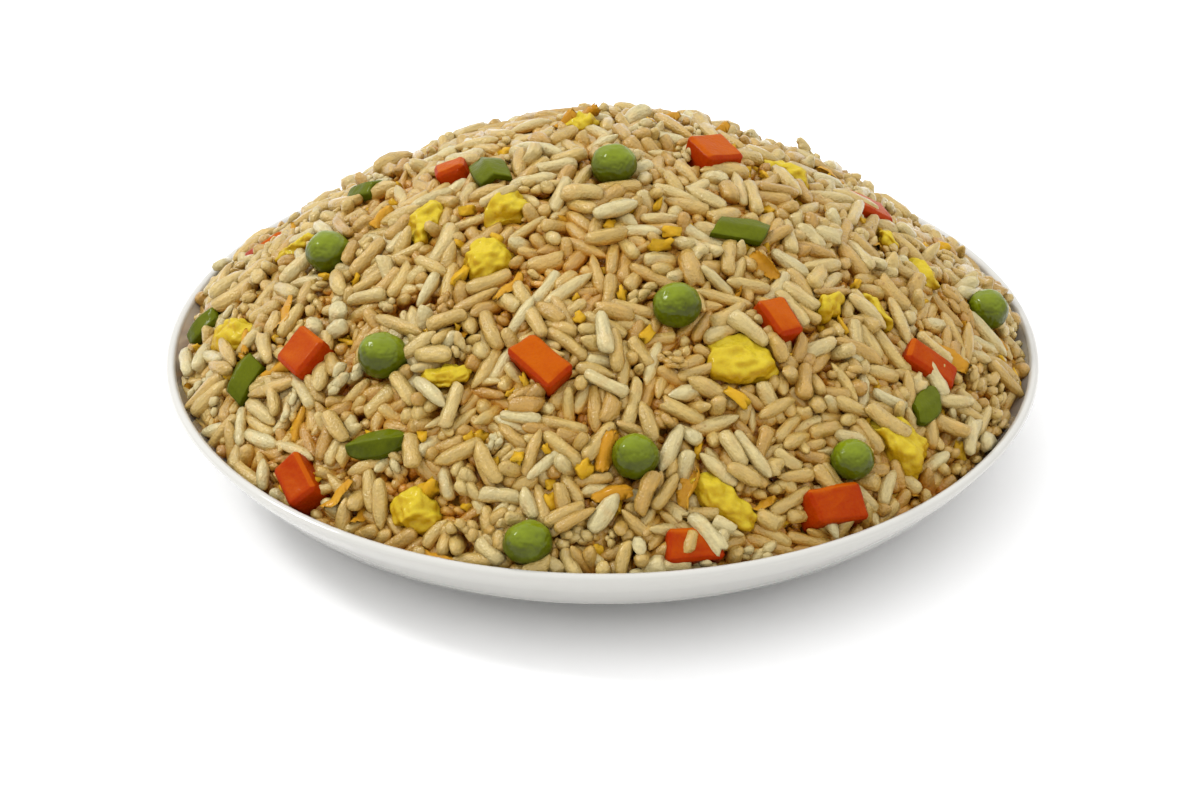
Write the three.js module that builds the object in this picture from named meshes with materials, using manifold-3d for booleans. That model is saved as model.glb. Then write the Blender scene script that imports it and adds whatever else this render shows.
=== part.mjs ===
// Fried rice heaped on a white side plate, with green peas, diced carrot, sliced
// scallion and scrambled egg lying in the surface of the rice.
// Millimetres, +Z up, origin on the table under the middle of the plate.

import * as THREE from 'three';
import { ConvexGeometry } from 'three/addons/geometries/ConvexGeometry.js';
import { mergeVertices } from 'three/addons/utils/BufferGeometryUtils.js';
import Module from 'manifold-3d';

const wasm = await Module();
wasm.setup();

// ---- Plate ----
const PLATE_DIAMETER = 176.6;
const PLATE_HEIGHT = 21.4;
const PLATE_SEGMENTS = 56;
const RIM_THICKNESS = 2.2; // the crest of the rim is half a circle this wide
const WALL_THICKNESS = 2.8;
const WALL_BASE_RADIUS = 79.8; // where the flared wall leaves the flat of the plate
const WALL_BASE_HEIGHT = 10.6;
const FOOT_RADIUS = 53; // middle of the foot ring
const FOOT_WIDTH = 6;
const UNDERSIDE_HEIGHT = 2.2; // recess inside the foot ring
const FLOOR_HEIGHT = 5.4; // top of the eating surface
const FLOOR_RADIUS = 56; // the floor is almost level as far as this
const FLOOR_EDGE_RADIUS = 68; // and rises a little from there to here
const FLOOR_EDGE_RISE = 2;
const FLOOR_CAMBER = 0.4;
const SHOULDER_RADIUS = 71; // a point of the underside between foot and wall
const SHOULDER_HEIGHT = 5;
const WALL_SLOPE = THREE.MathUtils.degToRad(48.5); // of the flared wall, above level
const CREST_STEP = 36; // degrees round the crest of the rim

// ---- Heap of rice ----
const HEAP_RADIUS = 86; // where the dome would meet its own base
const HEAP_BASE = 18.5; // height of that base, under the crest of the rim
const HEAP_RISE = 46.5;
const SIDE_SWELL = { height: 2.4, place: 76, across: 12, along: 40 }; // left and right
const HEAP_EDGE_RADIUS = 84.2; // the rice ends here, inside the rim
const HEAP_EDGE_WANDER = 0.9;
const HEAP_RINGS = 26; // a ring every 3.9 mm, with bumps one grain long
const WIDE_SWELL = { height: 0.7, pitch: 10 }; // low unevenness of two sizes
const NARROW_SWELL = { height: 0.5, pitch: 5.2 };
const GRAIN_WIDTH = 2.7;
const GRAIN_DIP = { least: 0.6, most: 0.9 }; // depth between grains, in grain widths
const GRAIN_RAISE = 0.5; // how far the tops of the grains differ, each way
const GRAIN_SLIDE = 0.5; // how far a grain strays round the heap, each way
const FIT_GAP = 0.3; // between pieces that touch
const DIMPLE_MARGIN = 2.6; // the rice is pressed down this far round a topping
const TOPPING_REACH = 14; // no topping reaches further than this from its middle

// ---- Colours ----
const CERAMIC = '#efeeea';
const COOKED_RICE = '#c9a76b';
const PEA_GREEN = '#4f8a1c';
const CARROT_ORANGE = '#c8501a';
const SCALLION_GREEN = '#3f7d1f';
const EGG_YELLOW = '#dcb932';

// ---- Toppings ----
// Each one lies `out` mm from the middle at a compass `bearing` (degrees, 0 = +X,
// 90 = +Y).  `turn` swings its length away from the X direction, seen from outside.
const PEA_PROUD = 0.8; // height of a pea's middle above the tops of the grains
const PEA_SUNK = -2.4; // the same for a pea that is half buried
const peas = [
  { out: 6, bearing: 292, diameter: 9.4 },
  { out: 54.5, bearing: 188, diameter: 9.7 },
  { out: 43.5, bearing: 289, diameter: 9.8 },
  { out: 59.5, bearing: 225, diameter: 10.2 },
  { out: 77, bearing: 359, diameter: 9 },
  { out: 75.5, bearing: 309, diameter: 8.8 },
  { out: 68.5, bearing: 275, diameter: 9.6 },
  { out: 81, bearing: 260, diameter: 9.8 },
  { out: 80.5, bearing: 79, diameter: 9.6 },
  { out: 74, bearing: 70, diameter: 9.2, proud: PEA_SUNK },
  { out: 81.5, bearing: 103, diameter: 9.9 },
  { out: 73.5, bearing: 110, diameter: 9.4, proud: PEA_SUNK },
];

const CARROT_SINK = 1.4; // depth of a carrot's middle under the tops of the grains
const CARROT_EDGE = 0.7; // width of its softened edges
const CARROT_UNEVEN = 0.12;
const carrots = [
  { out: 23, bearing: 16, size: [9, 8.5, 7.5], turn: -55 },
  { out: 31, bearing: 169, size: [6, 5.5, 5], turn: 5, sink: 1.6 },
  { out: 73.5, bearing: 162, size: [8.5, 7, 6], turn: -50, sink: 2.4 },
  { out: 56, bearing: 15, size: [10.5, 7.5, 6.5], turn: 30, sink: 2.4 },
  { out: 51, bearing: 312, size: [9.5, 6.5, 6.5], turn: -60 },
  { out: 66.5, bearing: 209, size: [9.5, 8.5, 8], turn: -50 },
  { out: 53.5, bearing: 257, size: [11.5, 6.5, 7], turn: -45 },
  { out: 71, bearing: 335, size: [11.5, 6, 6.5], turn: -12 },
  { out: 81.5, bearing: 224, size: [10, 6.5, 6.5], turn: -64 },
  { out: 80.5, bearing: 303.5, size: [11, 7, 6.5], turn: 17 },
  { out: 81.5, bearing: 282, size: [10.5, 6.5, 6], turn: 7 },
  { out: 70, bearing: 93, size: [9, 8, 7], turn: 25, sink: 2.4 },
  { out: 80.5, bearing: 55, size: [10, 7, 7], turn: -35, sink: 2 },
  { out: 80, bearing: 127, size: [9, 8, 6.5], turn: 60, sink: 2.2 },
  { out: 62, bearing: 77, size: [8.5, 7.5, 7], turn: 10, sink: 2.8 },
];

const SCALLION_THICKNESS = 1.4;
const SCALLION_PROUD = 0.3;
const SCALLION_CELLS = { along: 6, across: 2 };
const SCALLION_DROOP = 0.35; // how far the ends hang down, in curls
const scallions = [
  { out: 22.5, bearing: 181, size: [9.5, 7], curl: 1.6, slant: 0.3, taper: 0.15, turn: -72 },
  { out: 50.5, bearing: 162, size: [7.5, 5.5], curl: 1.2, slant: 0.2, taper: 0.2, turn: -44 },
  { out: 33, bearing: 325, size: [10.5, 6], curl: 0.7, slant: 0.55, taper: 0.1, turn: 6 },
  { out: 76, bearing: 201, size: [9, 7], curl: 1.9, slant: 0.3, taper: 0.15, turn: 51 },
  { out: 72, bearing: 233, size: [12, 5.5], curl: 1.5, slant: 0.2, taper: 0.55, turn: 0 },
  { out: 74.5, bearing: 328, size: [8, 6], curl: 0.6, slant: 0.5, taper: 0.4, turn: 46 },
  { out: 80.5, bearing: 179.8, size: [8, 6], curl: 1.4, slant: 0.2, taper: 0.35, turn: 5 },
  { out: 64, bearing: 104, size: [9.5, 6], curl: 1, slant: 0.3, taper: 0.3, turn: 70 },
  { out: 72, bearing: 82, size: [8, 6], curl: 1.4, slant: 0.4, taper: 0.2, turn: -20 },
  { out: 81, bearing: 44, size: [9, 5.5], curl: 0.8, slant: 0.5, taper: 0.4, turn: 35 },
];

const EGG_SINK = 0.25; // of its own height
const EGG_WAVES = { along: 3.1, across: 3.7, fine: 5 }; // radians to half its size
const EGG_LUMPS = { wide: 0.1, fine: 0.06, ragged: 0.07 }; // shares of its half size
const EGG_FOLD = 0.35; // how far the ends hang down, in half heights
const eggs = [
  { out: 22, bearing: 100, size: [10, 5, 4.5], turn: 35 },
  { out: 39, bearing: 20, size: [12.5, 6, 4.5], turn: -24 },
  { out: 24, bearing: 215, size: [11, 8.5, 5.5], turn: 16 },
  { out: 35.5, bearing: 230, size: [11.5, 8.5, 5.5], turn: 0 },
  { out: 37.5, bearing: 197, size: [13, 7, 6], turn: 72 },
  { out: 58, bearing: 3.5, size: [7, 4, 3.5], turn: -49 },
  { out: 64.5, bearing: 359, size: [9.5, 4, 3.5], turn: -41 },
  { out: 59, bearing: 337, size: [9.5, 3, 3], turn: -50 },
  { out: 53, bearing: 327, size: [8.5, 6, 5], turn: 45 },
  { out: 55, bearing: 300, size: [14.5, 11.5, 5.5], turn: 8 },
  { out: 76, bearing: 188.7, size: [12.5, 8, 5.5], turn: -34 },
  { out: 58.5, bearing: 238, size: [11, 6.5, 4.5], turn: 0 },
  { out: 76.5, bearing: 320, size: [15.5, 10, 6.5], turn: -34 },
  { out: 76, bearing: 288, size: [17, 6.5, 5], turn: -40 },
  { out: 79, bearing: 243, size: [9.5, 9, 6.5], turn: -30 },
  { out: 62, bearing: 174.2, size: [11, 4, 4], turn: -16 },
  { out: 81, bearing: 115, size: [12, 8, 5.5], turn: 15 },
  { out: 81, bearing: 67, size: [13, 7.5, 5.5], turn: -25 },
  { out: 81, bearing: 91, size: [11, 7, 5], turn: -10 },
  { out: 71.5, bearing: 121, size: [11, 6, 5], turn: 50 },
];

// ---- Helpers ----

// Repeatable random numbers between 0 and 1.
function seededRandom(seed) {
  let state = seed >>> 0;
  return () => {
    state = (state + 0x6d2b79f5) >>> 0;
    let mixed = Math.imul(state ^ (state >>> 15), state | 1);
    mixed ^= mixed + Math.imul(mixed ^ (mixed >>> 7), mixed | 61);
    return ((mixed ^ (mixed >>> 14)) >>> 0) / 4294967296;
  };
}

// Random number between -1 and 1.
function wobble(random) {
  return 2 * random() - 1;
}

// The same surface with its shared vertices merged, so that it is one closed body.
function closedSurface(geometry) {
  const surface = geometry.clone();
  surface.deleteAttribute('normal');
  surface.deleteAttribute('uv');
  return mergeVertices(surface, 1e-4);
}

function surfaceFrom(points, triangles) {
  const geometry = new THREE.BufferGeometry();
  const coordinates = points.flatMap((point) => point.toArray());
  geometry.setAttribute('position', new THREE.Float32BufferAttribute(coordinates, 3));
  geometry.setIndex(triangles.flat());
  return geometry;
}

function toManifold(geometry) {
  return new wasm.Manifold(new wasm.Mesh({
    numProp: 3,
    vertProperties: new Float32Array(geometry.attributes.position.array),
    triVerts: new Uint32Array(geometry.index.array),
  }));
}

function fromManifold(solid) {
  const { numProp, vertProperties, triVerts } = solid.getMesh();
  const geometry = new THREE.BufferGeometry();
  const corners = vertProperties.length / numProp;
  const positions = new Float32Array(corners * 3);
  for (let i = 0; i < corners; i++) {
    positions.set(vertProperties.subarray(i * numProp, i * numProp + 3), i * 3);
  }
  geometry.setAttribute('position', new THREE.BufferAttribute(positions, 3));
  geometry.setIndex(new THREE.BufferAttribute(triVerts, 1));
  return geometry;
}

// A lathe about +Z of [radius, height] points that start and end on the axis.
function turned(points) {
  const profile = points.map(([radius, height]) => new THREE.Vector2(radius, height));
  const geometry = new THREE.LatheGeometry(profile, PLATE_SEGMENTS);
  geometry.rotateX(Math.PI / 2);
  return closedSurface(geometry);
}

function piece(name, geometry, color, roughness) {
  const material = new THREE.MeshStandardMaterial({ color, roughness, metalness: 0 });
  const mesh = new THREE.Mesh(geometry, material);
  mesh.name = name;
  return mesh;
}

// ---- Plate ----

// Inside of the plate, from the middle of the floor up to the crest, moved into the
// hollow by `gap`.
function plateInside(gap) {
  const wallTop = PLATE_DIAMETER / 2 - RIM_THICKNESS;
  const crestCentre = PLATE_HEIGHT - RIM_THICKNESS / 2;
  const wallFoot = WALL_BASE_RADIUS - WALL_THICKNESS * Math.sin(WALL_SLOPE);
  return [
    [0, FLOOR_HEIGHT],
    [FLOOR_RADIUS, FLOOR_HEIGHT + FLOOR_CAMBER],
    [FLOOR_EDGE_RADIUS, FLOOR_HEIGHT + FLOOR_EDGE_RISE],
    [wallFoot, WALL_BASE_HEIGHT + WALL_THICKNESS * Math.cos(WALL_SLOPE)],
    [wallTop, crestCentre],
  ].map(([radius, height]) => [Math.max(radius - gap, 0), height + gap]);
}

function plateSolid() {
  const rimRadius = RIM_THICKNESS / 2;
  const crestRadius = PLATE_DIAMETER / 2 - rimRadius;
  const crestHeight = PLATE_HEIGHT - rimRadius;
  const crest = [0, 1, 2, 3, 4].map((step) => {
    const angle = THREE.MathUtils.degToRad(step * CREST_STEP);
    return [crestRadius + rimRadius * Math.cos(angle), crestHeight + rimRadius * Math.sin(angle)];
  });
  const outside = [
    [0, UNDERSIDE_HEIGHT],
    [FOOT_RADIUS - FOOT_WIDTH / 2 - UNDERSIDE_HEIGHT / 2, UNDERSIDE_HEIGHT],
    [FOOT_RADIUS - FOOT_WIDTH / 2, 0],
    [FOOT_RADIUS + FOOT_WIDTH / 2, 0],
    [FOOT_RADIUS + FOOT_WIDTH / 2 + UNDERSIDE_HEIGHT, UNDERSIDE_HEIGHT],
    [SHOULDER_RADIUS, SHOULDER_HEIGHT],
    [WALL_BASE_RADIUS, WALL_BASE_HEIGHT],
  ];
  return turned([...outside, ...crest, ...plateInside(0).reverse()]);
}

// ---- Shape of the heap ----

// Height of the tops of the grains.  The dome is a paraboloid that leans out a
// little more at its two sides.
function heapHeight(x, y) {
  const spread = (x * x + y * y) / (HEAP_RADIUS * HEAP_RADIUS);
  const fromSide = (Math.abs(x) - SIDE_SWELL.place) / SIDE_SWELL.across;
  const swell = SIDE_SWELL.height * Math.exp(-(fromSide ** 2) - (y / SIDE_SWELL.along) ** 2);
  return HEAP_BASE + HEAP_RISE * (1 - spread) + swell;
}

function heapNormal(x, y) {
  const step = 0.5;
  const slopeX = (heapHeight(x + step, y) - heapHeight(x - step, y)) / (2 * step);
  const slopeY = (heapHeight(x, y + step) - heapHeight(x, y - step)) / (2 * step);
  return new THREE.Vector3(-slopeX, -slopeY, 1).normalize();
}

// Puts a topping's own Z along the slope's normal and its X across the plate.
function layOnHeap(mesh, { out, bearing, turn = 0 }, proud) {
  const angle = THREE.MathUtils.degToRad(bearing);
  const x = out * Math.cos(angle);
  const y = out * Math.sin(angle);
  const normal = heapNormal(x, y);
  const across = new THREE.Vector3(1, 0, 0).projectOnPlane(normal).normalize();
  const upslope = new THREE.Vector3().crossVectors(normal, across);
  const frame = new THREE.Matrix4().makeBasis(across, upslope, normal);
  mesh.quaternion.setFromRotationMatrix(frame);
  mesh.rotateZ(THREE.MathUtils.degToRad(turn));
  mesh.position.set(x, y, heapHeight(x, y)).addScaledVector(normal, proud);
}

// Low, wide unevenness of the heap, 1 mm or so up and down.
function heapSwell(x, y) {
  const wide = Math.sin(x / WIDE_SWELL.pitch + 1) * Math.cos(y / WIDE_SWELL.pitch);
  const narrow = Math.sin((x - y) / NARROW_SWELL.pitch);
  return WIDE_SWELL.height * wide + NARROW_SWELL.height * narrow;
}

// ---- Rice ----

// Points of the dome in rings of 6, 12, 18 ... round one in the middle, with the
// triangles between them.  Every triangle is close to equal-sided.
function domeLattice() {
  const apex = new THREE.Vector2(0, HEAP_BASE + HEAP_RISE);
  const foot = new THREE.Vector2(HEAP_EDGE_RADIUS, heapHeight(0, HEAP_EDGE_RADIUS));
  const crown = new THREE.Vector2(HEAP_EDGE_RADIUS / 2, apex.y);
  const ringRadii = new THREE.QuadraticBezierCurve(apex, crown, foot).getSpacedPoints(HEAP_RINGS);
  const spots = [];
  const ringStart = [];
  for (let ring = 0; ring <= HEAP_RINGS; ring++) {
    ringStart.push(spots.length);
    for (let i = 0; i < Math.max(6 * ring, 1); i++) {
      spots.push({ ring, radius: ringRadii[ring].x, angle: (2 * Math.PI * i) / Math.max(6 * ring, 1) });
    }
  }
  const at = (ring, i) => ringStart[ring] + (ring === 0 ? 0 : i % (6 * ring));
  const triangles = [];
  for (let ring = 0; ring < HEAP_RINGS; ring++) {
    for (let sector = 0; sector < 6; sector++) {
      for (let i = 0; i <= ring; i++) {
        const inner = at(ring, sector * ring + i);
        const outer = sector * (ring + 1) + i;
        triangles.push([inner, at(ring + 1, outer), at(ring + 1, outer + 1)]);
        if (i < ring) {
          triangles.push([inner, at(ring + 1, outer + 1), at(ring, sector * ring + i + 1)]);
        }
      }
    }
  }
  return { spots, triangles, edgeStart: ringStart[HEAP_RINGS] };
}

// Chooses pairs of neighbouring points that stand up as grains, with lower points
// all round each pair.
function grainPoints(spotCount, triangles, edgeStart, random) {
  const neighbours = Array.from({ length: spotCount }, () => new Set());
  const edges = [];
  for (const [a, b, c] of triangles) {
    for (const [from, to] of [[a, b], [b, c], [c, a]]) {
      neighbours[from].add(to);
      neighbours[to].add(from);
      if (from < to && to < edgeStart) {
        edges.push({ from, to, order: random() });
      }
    }
  }
  edges.sort((first, second) => first.order - second.order);
  const raised = new Set();
  const taken = new Set();
  for (const { from, to } of edges) {
    if (taken.has(from) || taken.has(to)) {
      continue;
    }
    raised.add(from).add(to);
    for (const near of [...neighbours[from], ...neighbours[to]]) {
      taken.add(near);
    }
  }
  return raised;
}

// Presses a point of the rice down under any topping that lies on it.
function pressUnderToppings(point, toppings) {
  for (const topping of toppings) {
    if (point.distanceTo(topping.position) > TOPPING_REACH) {
      continue;
    }
    const { min, max } = topping.geometry.boundingBox;
    const local = topping.worldToLocal(point.clone());
    const reachX = local.x > 0 ? max.x : -min.x;
    const reachY = local.y > 0 ? max.y : -min.y;
    const spread = (local.x / (reachX + DIMPLE_MARGIN)) ** 4 + (local.y / (reachY + DIMPLE_MARGIN)) ** 4;
    const floor = min.z - 2 * FIT_GAP;
    if (spread < 1 && local.z > floor * Math.sqrt(1 - spread)) {
      local.z = floor * Math.sqrt(1 - spread);
      point.copy(topping.localToWorld(local));
    }
  }
  return point;
}

function heapSolid(toppings) {
  for (const topping of toppings) {
    topping.updateMatrixWorld();
    topping.geometry.computeBoundingBox();
  }
  const random = seededRandom(7);
  const { spots, triangles, edgeStart } = domeLattice();
  const raised = grainPoints(spots.length, triangles, edgeStart, random);
  const points = spots.map(({ ring, radius, angle }, index) => {
    const edgeShare = (ring / HEAP_RINGS) ** 4;
    const wander = HEAP_EDGE_WANDER * Math.sin(5 * angle + 0.6) * Math.cos(3 * angle) * edgeShare;
    const x = (radius + wander) * Math.cos(angle);
    const y = (radius + wander) * Math.sin(angle);
    const point = new THREE.Vector3(x, y, heapHeight(x, y));
    if (index >= edgeStart) {
      return point.addScaledVector(heapNormal(x, y), -GRAIN_WIDTH / 2);
    }
    const dip = GRAIN_WIDTH * THREE.MathUtils.lerp(GRAIN_DIP.least, GRAIN_DIP.most, random());
    const relief = raised.has(index) ? GRAIN_RAISE * wobble(random) : -dip;
    const swell = heapSwell(x, y) * (1 - edgeShare);
    const across = new THREE.Vector3(-Math.sin(angle), Math.cos(angle), 0);
    point.addScaledVector(heapNormal(x, y), relief + swell);
    point.addScaledVector(across, GRAIN_SLIDE * wobble(random));
    return pressUnderToppings(point, toppings);
  });
  const edgeCount = 6 * HEAP_RINGS;
  const lowerStart = points.length;
  for (let i = 0; i < edgeCount; i++) {
    const { x, y } = points[edgeStart + i];
    points.push(new THREE.Vector3(x, y, 0));
  }
  const middle = points.push(new THREE.Vector3(0, 0, 0)) - 1;
  for (let i = 0; i < edgeCount; i++) {
    const next = (i + 1) % edgeCount;
    triangles.push([edgeStart + i, lowerStart + i, lowerStart + next]);
    triangles.push([edgeStart + i, lowerStart + next, edgeStart + next]);
    triangles.push([middle, lowerStart + next, lowerStart + i]);
  }
  const hollow = plateInside(FIT_GAP);
  const openTop = HEAP_BASE + 2 * HEAP_RISE;
  const room = turned([...hollow, [hollow.at(-1)[0], openTop], [0, openTop]]);
  let heap = toManifold(surfaceFrom(points, triangles)).intersect(toManifold(room));
  for (const topping of toppings) {
    heap = heap.subtract(toManifold(socketFor(topping)));
  }
  const bodies = heap.decompose().sort((first, second) => second.volume() - first.volume());
  return fromManifold(bodies[0]);
}

// The hull of a topping, grown on every side by the fit gap, in the plate's frame.
function socketFor(mesh) {
  const { position } = mesh.geometry.attributes;
  const corners = [];
  for (let i = 0; i < position.count; i++) {
    corners.push(new THREE.Vector3().fromBufferAttribute(position, i));
  }
  const hull = closedSurface(new ConvexGeometry(corners));
  const size = mesh.geometry.boundingBox.getSize(new THREE.Vector3());
  const centre = mesh.geometry.boundingBox.getCenter(new THREE.Vector3());
  const growth = size.clone().addScalar(3 * FIT_GAP).divide(size);
  hull.translate(-centre.x, -centre.y, -centre.z);
  hull.scale(growth.x, growth.y, growth.z);
  hull.translate(centre.x, centre.y, centre.z);
  return hull.applyMatrix4(mesh.matrixWorld);
}

// ---- Toppings ----

// A cooked pea: a ball, a little flattened.
function peaSolid({ diameter }) {
  const ball = closedSurface(new THREE.IcosahedronGeometry(diameter / 2, 1));
  return ball.scale(1, 0.97, 0.93);
}

// A knife-cut carrot dice with softened edges and sides that aren't quite square.
function carrotSolid({ size }, random) {
  const corners = [];
  for (let signs = 0; signs < 8; signs++) {
    const corner = size.map((side, axis) => {
      const half = (signs >> axis) & 1 ? side / 2 : -side / 2;
      return half * (1 + CARROT_UNEVEN * wobble(random));
    });
    for (let kept = 0; kept < 3; kept++) {
      const softened = corner.map((value, axis) => {
        return axis === kept ? value : value - Math.sign(value) * CARROT_EDGE;
      });
      corners.push(new THREE.Vector3(...softened));
    }
  }
  return closedSurface(new ConvexGeometry(corners));
}

// A bias-cut slice of scallion leaf: a thin slanted strip, curled across its width.
function scallionSolid({ size: [length, width], curl, slant, taper }) {
  const steps = SCALLION_CELLS;
  const points = [];
  for (const side of [1, -1]) {
    for (let i = 0; i <= steps.along; i++) {
      for (let j = 0; j <= steps.across; j++) {
        const u = (2 * i) / steps.along - 1;
        const v = (2 * j) / steps.across - 1;
        const halfWidth = (width / 2) * (1 - taper * Math.abs(u) ** 3);
        const x = (u * length) / 2 + slant * v * halfWidth;
        const bow = curl * (0.5 - v * v - SCALLION_DROOP * u * u);
        const z = bow + (side * SCALLION_THICKNESS) / 2;
        points.push(new THREE.Vector3(x, v * halfWidth, z));
      }
    }
  }
  const rowLength = steps.across + 1;
  const faceCount = (steps.along + 1) * rowLength;
  const at = (i, j, side) => side * faceCount + i * rowLength + j;
  const triangles = [];
  for (let i = 0; i < steps.along; i++) {
    for (let j = 0; j < steps.across; j++) {
      triangles.push([at(i, j, 0), at(i + 1, j, 0), at(i + 1, j + 1, 0)]);
      triangles.push([at(i, j, 0), at(i + 1, j + 1, 0), at(i, j + 1, 0)]);
      triangles.push([at(i, j, 1), at(i + 1, j + 1, 1), at(i + 1, j, 1)]);
      triangles.push([at(i, j, 1), at(i, j + 1, 1), at(i + 1, j + 1, 1)]);
    }
  }
  const rim = [];
  for (let i = 0; i < steps.along; i++) {
    rim.push([i, 0]);
  }
  for (let j = 0; j < steps.across; j++) {
    rim.push([steps.along, j]);
  }
  for (let i = steps.along; i > 0; i--) {
    rim.push([i, steps.across]);
  }
  for (let j = steps.across; j > 0; j--) {
    rim.push([0, j]);
  }
  rim.forEach(([i, j], index) => {
    const [nextI, nextJ] = rim[(index + 1) % rim.length];
    triangles.push([at(i, j, 0), at(i, j, 1), at(nextI, nextJ, 1)]);
    triangles.push([at(i, j, 0), at(nextI, nextJ, 1), at(nextI, nextJ, 0)]);
  });
  return surfaceFrom(points, triangles);
}

// A curd of scrambled egg: a flat lumpy ball, bent down at its ends.
function eggSolid({ size: [length, width, height] }, random) {
  const curd = closedSurface(new THREE.IcosahedronGeometry(1, 1));
  const { position } = curd.attributes;
  const phase = [random(), random(), random()].map((value) => 2 * Math.PI * value);
  for (let i = 0; i < position.count; i++) {
    const x = position.getX(i);
    const y = position.getY(i);
    const z = position.getZ(i);
    const along = Math.sin(EGG_WAVES.along * x + phase[0]);
    const across = Math.sin(EGG_WAVES.across * y + phase[1]);
    const fine = Math.sin(EGG_WAVES.fine * (x + z) + phase[2]);
    const wide = EGG_LUMPS.wide * (along + across);
    const lump = 1 + wide + EGG_LUMPS.fine * fine + EGG_LUMPS.ragged * wobble(random);
    const folded = z * lump - EGG_FOLD * x * x;
    position.setXYZ(i, (length / 2) * x * lump, (width / 2) * y * lump, (height / 2) * folded);
  }
  return curd;
}

// ---- The dish ----

const random = seededRandom(23);
const toppings = [
  ...peas.map((spot, i) => {
    const pea = piece(`pea_${i + 1}`, peaSolid(spot), PEA_GREEN, 0.35);
    layOnHeap(pea, spot, spot.proud ?? PEA_PROUD);
    return pea;
  }),
  ...carrots.map((spot, i) => {
    const carrot = piece(`carrot_${i + 1}`, carrotSolid(spot, random), CARROT_ORANGE, 0.45);
    layOnHeap(carrot, spot, -(spot.sink ?? CARROT_SINK));
    return carrot;
  }),
  ...scallions.map((spot, i) => {
    const scallion = piece(`scallion_${i + 1}`, scallionSolid(spot), SCALLION_GREEN, 0.4);
    layOnHeap(scallion, spot, SCALLION_PROUD);
    return scallion;
  }),
  ...eggs.map((spot, i) => {
    const egg = piece(`egg_${i + 1}`, eggSolid(spot, random), EGG_YELLOW, 0.5);
    layOnHeap(egg, spot, -EGG_SINK * spot.size[2]);
    return egg;
  }),
];

const dish = new THREE.Group();
dish.add(piece('plate', plateSolid(), CERAMIC, 0.15));
dish.add(piece('rice_heap', heapSolid(toppings), COOKED_RICE, 0.6));
dish.add(...toppings);

export default dish;
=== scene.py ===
"""A plate of fried rice: a white side plate, heaped rice, and the peas, diced carrot,
scallion and scrambled egg that lie in it.  Blender units are metres."""

import math

import bmesh
import bpy
import numpy as np
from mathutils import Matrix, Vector, noise


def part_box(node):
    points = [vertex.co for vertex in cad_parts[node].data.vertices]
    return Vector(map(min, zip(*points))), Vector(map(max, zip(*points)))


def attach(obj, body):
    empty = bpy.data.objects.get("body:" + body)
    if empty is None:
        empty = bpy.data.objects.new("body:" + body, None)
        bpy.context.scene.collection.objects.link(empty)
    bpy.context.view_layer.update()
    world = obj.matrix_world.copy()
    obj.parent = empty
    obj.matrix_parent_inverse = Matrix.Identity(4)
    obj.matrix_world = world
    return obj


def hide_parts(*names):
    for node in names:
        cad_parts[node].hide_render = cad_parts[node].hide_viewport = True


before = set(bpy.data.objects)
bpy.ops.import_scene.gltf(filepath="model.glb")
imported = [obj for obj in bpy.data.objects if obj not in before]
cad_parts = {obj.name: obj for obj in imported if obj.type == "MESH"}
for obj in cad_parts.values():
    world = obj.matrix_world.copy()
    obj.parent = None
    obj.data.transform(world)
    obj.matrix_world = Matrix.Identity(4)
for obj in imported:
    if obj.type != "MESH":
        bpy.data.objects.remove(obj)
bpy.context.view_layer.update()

MM = 0.001


# ---- Table top, light and camera ----
# The dish stands on a plain white table in a white studio.  A wide soft box hangs
# over it, and a small lamp at the upper left gives the moist food its glints.

TABLE_WIDTH = 6.0
TABLE_WHITE = (0.93, 0.93, 0.935, 1)
TABLE_ROUGHNESS = 0.9
SOFTBOX_PLACE = (0, 0.1, 1.0)
SOFTBOX_SIZE = (4.0, 3.0)
SOFTBOX_POWER = 16.5
GLINT_LAMP_PLACE = (-0.8, 0.17, 0.9)
GLINT_LAMP_AIM = (0, 0, 0.03)
GLINT_LAMP_SIZE = (0.25, 0.25)
GLINT_LAMP_POWER = 5.0
SKY_WHITE = (1.0, 1.0, 1.0, 1)
SKY_STRENGTH = 1.1
CAMERA_DISTANCE = 1000 * MM
CAMERA_ELEVATION = math.radians(29.94)
CAMERA_TARGET = Vector((-0.5 * MM, -19.28 * MM, 20 * MM))
CAMERA_LENS = 150.5  # millimetres, as the sensor's width
CAMERA_SENSOR = 36


def plain_material(name, color, roughness):
    material = bpy.data.materials.new(name)
    material.use_nodes = True
    shader = material.node_tree.nodes["Principled BSDF"]
    shader.inputs["Base Color"].default_value = color
    shader.inputs["Roughness"].default_value = roughness
    return material


def new_object(name, mesh, material):
    """An object at the origin that shows this mesh in this material."""
    piece = bpy.data.objects.new(name, mesh)
    bpy.context.scene.collection.objects.link(piece)
    mesh.materials.append(material)
    return piece


def area_lamp(name, place, aim, size, power):
    lamp = bpy.data.lights.new(name, "AREA")
    lamp.shape = "RECTANGLE"
    lamp.size, lamp.size_y = size
    lamp.energy = power
    holder = bpy.data.objects.new(name, lamp)
    holder.location = place
    holder.rotation_euler = (Vector(aim) - Vector(place)).to_track_quat("-Z", "Y").to_euler()
    bpy.context.scene.collection.objects.link(holder)


table_bm = bmesh.new()
bmesh.ops.create_grid(table_bm, x_segments=1, y_segments=1, size=TABLE_WIDTH / 2)
table_mesh = bpy.data.meshes.new("table_top")
table_bm.to_mesh(table_mesh)
table_bm.free()
table_white = plain_material("table_white", TABLE_WHITE, TABLE_ROUGHNESS)
new_object("table_top", table_mesh, table_white)

area_lamp("overhead_softbox", SOFTBOX_PLACE, (0, 0, 0), SOFTBOX_SIZE, SOFTBOX_POWER)
area_lamp("glint_lamp", GLINT_LAMP_PLACE, GLINT_LAMP_AIM, GLINT_LAMP_SIZE, GLINT_LAMP_POWER)

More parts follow.
